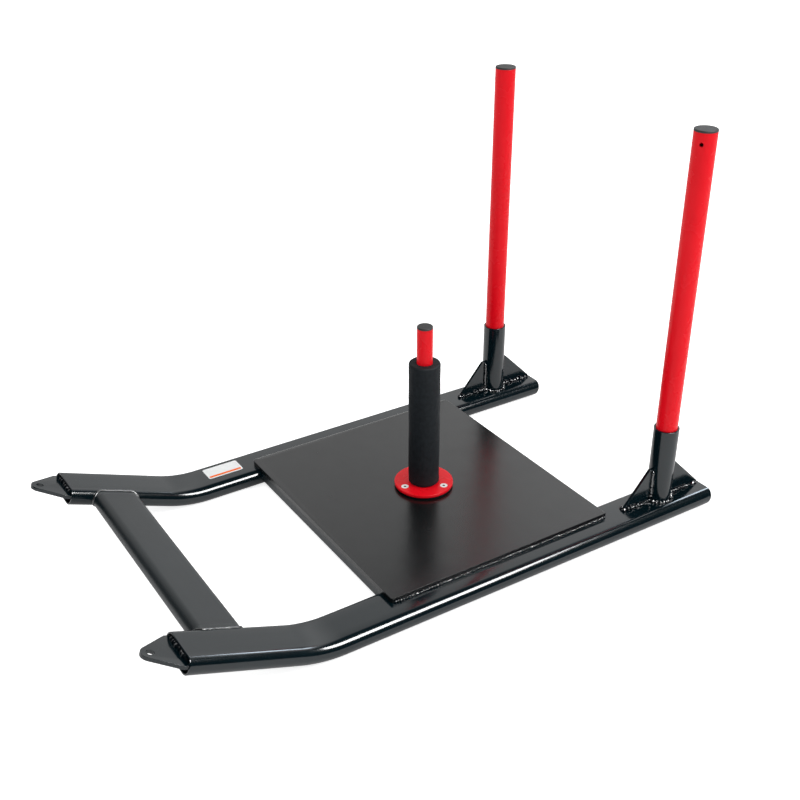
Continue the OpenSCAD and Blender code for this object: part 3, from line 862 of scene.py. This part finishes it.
def sleeve():
    """The foam tube: rounded rims, and a skin that swells and dips a little along its length."""
    rim, dish = 0.0028, 0.0004
    low = FLANGE_TOP + SLEEVE_GAP
    high = low + SLEEVE_LEN
    shoulder = SLEEVE_R - rim
    face = shoulder - SLEEVE_BORE
    levels, bore_levels, turns = 90, 30, 112
    # (radius, height, how freely the foam moves there)
    skin = [(shoulder + rim * math.sin(a), low + rim - rim * math.cos(a), math.sin(a)) for a in quarter(6)]
    skin += [(SLEEVE_R, low + rim + (SLEEVE_LEN - 2 * rim) * k / levels, 1.0) for k in range(1, levels)]
    skin += [(shoulder + rim * math.cos(a), high - rim + rim * math.sin(a), math.cos(a)) for a in quarter(6)]
    skin += [(SLEEVE_BORE + face * t, high - dish * (1 - t), 0.0) for t in (0.66, 0.33, 0.0)]
    skin += [(SLEEVE_BORE, high - SLEEVE_LEN * k / bore_levels, 0.0) for k in range(1, bore_levels)]
    skin += [(SLEEVE_BORE + face * t, low, 0.0) for t in (0.0, 0.33, 0.66)]
    rings = []
    for i in range(turns):
        a = 2 * math.pi * i / turns
        around = Vector((math.cos(a), math.sin(a), 0))
        ring = []
        for r, z, free in skin:
            swell = 0.00045 * noise.noise(around * 1.6 + Vector((0, 0, z * 32)))
            dimple = 0.0002 * noise.noise(around * 5 + Vector((3, 0, z * 110)))
            ring.append(Vector((0, POST_Y, z)) + around * (r + free * (swell + dimple - 0.0001)))
        rings.append(ring)
    piece = add_piece("foam_sleeve", loft(rings, wrap=True), "sleeve", "foam", "plate_sleeve", sharp=60)


def label():
    """A film with round corners and a slightly smaller top."""
    x, y = LABEL_W / 2, LABEL_L / 2
    edge = rounded([(x, -y), (x, y), (-x, y), (-x, -y)], [0.003] * 4, 6)
    rings = [[Vector((p.x * share, p.y * share, z)) for p in edge]
             for share, z in ((1, 0), (1, LABEL_T - 0.0001), (0.995, LABEL_T))]
    add_piece("label_film", loft(rings), "frame", "label", "blank_label", place=(LABEL_X, LABEL_Y, TUBE_H))


sleeve()
label()


def soften_edges(node, width):
    """Rounds a CAD node's edges by modifiers. Its mesh stays as it is."""
    weld = node.modifiers.new("weld", "WELD")
    weld.merge_threshold = 0.00001
    bevel = node.modifiers.new("edges", "BEVEL")
    bevel.width = width
    bevel.segments = 3
    bevel.limit_method = "ANGLE"
    bevel.angle_limit = math.radians(40)
    bevel.harden_normals = True


for name, node in nodes.items():
    if name.endswith("_gusset"):
        soften_edges(node, 0.0006)
    if name.endswith("_deck_bar"):
        soften_edges(node, 0.0005)


# Floor, world and lamps
def make_floor():
    """A pale matt floor that the camera sees as nearly white and the coat mirrors a little brighter."""
    size, drop = 14, 0.0004
    camera_glow, mirrored_glow = 0.75, 0.12
    mesh = bpy.data.meshes.new("floor")
    corners = [(x * size, y * size, 0) for x, y in ((-1, -1), (1, -1), (1, 1), (-1, 1))]
    mesh.from_pydata(corners, [], [(0, 1, 2, 3)])
    floor = bpy.data.objects.new("floor", mesh)
    scene.collection.objects.link(floor)
    floor.location.z = -drop
    s = Shader("floor")
    s.tree.nodes.remove(s.bsdf)
    diffuse = s.node("BsdfDiffuse")
    s.link(s.ramp(s.noise(3, 2), (0.9, 0.9, 0.9), (0.93, 0.93, 0.93), 0, 1), diffuse.inputs["Color"])
    rays = s.node("LightPath").outputs
    seen = s.compute("MULTIPLY", rays["Is Camera Ray"], camera_glow)
    mirrored = s.compute("MAXIMUM", rays["Is Glossy Ray"], rays["Is Transmission Ray"])
    glow = s.node("Emission")
    s.link(s.compute("MULTIPLY_ADD", mirrored, mirrored_glow, seen), glow.inputs["Strength"])
    both = s.node("AddShader")
    s.link(diffuse.outputs[0], both.inputs[0])
    s.link(glow.outputs[0], both.inputs[1])
    s.link(both.outputs[0], s.tree.nodes["Material Output"].inputs["Surface"])
    mesh.materials.append(s.material)


def make_world():
    """White to the camera, and in reflections a dark room with a pale backdrop on the far side."""
    dark, ambient = 0.02, 0.88
    world = bpy.data.worlds.new("world")
    world.use_nodes = True
    scene.world = world
    s = Nodes(world.node_tree)
    rays = s.node("LightPath").outputs
    x, y, z = s.xyz(s.node("TexCoord").outputs["Generated"])

    def band(value, low, high, start, end):
        return s.map_range(value, low, high, start, end, "SMOOTHSTEP")

    # The backdrop ends at a height, and towards the near side
    low = band(z, 0.62, 0.85, 1.0, dark)
    away = s.compute("ADD", s.compute("MULTIPLY", x, -0.8), s.compute("MULTIPLY", y, 0.6))
    far = band(away, 0.3, 0.6, 0.0, 1.0)
    # It is brighter higher up and towards the rear
    uneven = s.compute("MULTIPLY", band(z, 0.3, 0.5, 0.68, 1.1), band(y, 0.38, 0.65, 0.9, 1.22))
    backdrop = s.compute("MULTIPLY", s.compute("MULTIPLY", low, far), uneven)
    studio = s.compute("MAXIMUM", backdrop, dark)
    plain = s.compute("MAXIMUM", rays["Is Camera Ray"], rays["Is Transmission Ray"])
    seen = s.compute("MAXIMUM", plain, s.compute("MULTIPLY", rays["Is Glossy Ray"], studio))
    rest = s.compute("SUBTRACT", 1.0, s.compute("MAXIMUM", plain, rays["Is Glossy Ray"]))
    background = s.tree.nodes["Background"]
    s.link(s.compute("ADD", seen, s.compute("MULTIPLY", rest, ambient)), background.inputs["Strength"])
    background.inputs["Color"].default_value = (1, 1, 1, 1)


def area_lamp(name, where, target, width, height, power, colour=(1, 1, 1), glossy=True, diffuse=True):
    data = bpy.data.lights.new(name, "AREA")
    data.shape = "RECTANGLE"
    data.size = width
    data.size_y = height
    data.energy = power
    data.color = colour
    lamp = bpy.data.objects.new(name, data)
    scene.collection.objects.link(lamp)
    lamp.location = where
    lamp.rotation_euler = (Vector(target) - Vector(where)).to_track_quat("-Z", "Y").to_euler()
    lamp.visible_camera = False
    lamp.visible_glossy = glossy
    lamp.visible_diffuse = diffuse


make_floor()
make_world()
# The key isn't mirrored, and the other two show only in reflections
area_lamp("key", (1.9, 1.7, 2.1), (0, 0, 0.1), 1.2, 1.2, power=30, glossy=False)
area_lamp("softbox", (1.68, 1.08, 2.4), (1.68, 1.08, 0), 1.45, 1.54, power=190, diffuse=False)
area_lamp("window", (-0.9, 2.85, 2.4), (-0.9, 2.85, 0), 0.8, 0.7, power=22, colour=(0.75, 0.88, 1),
          diffuse=False)

scene.view_settings.view_transform = "Standard"
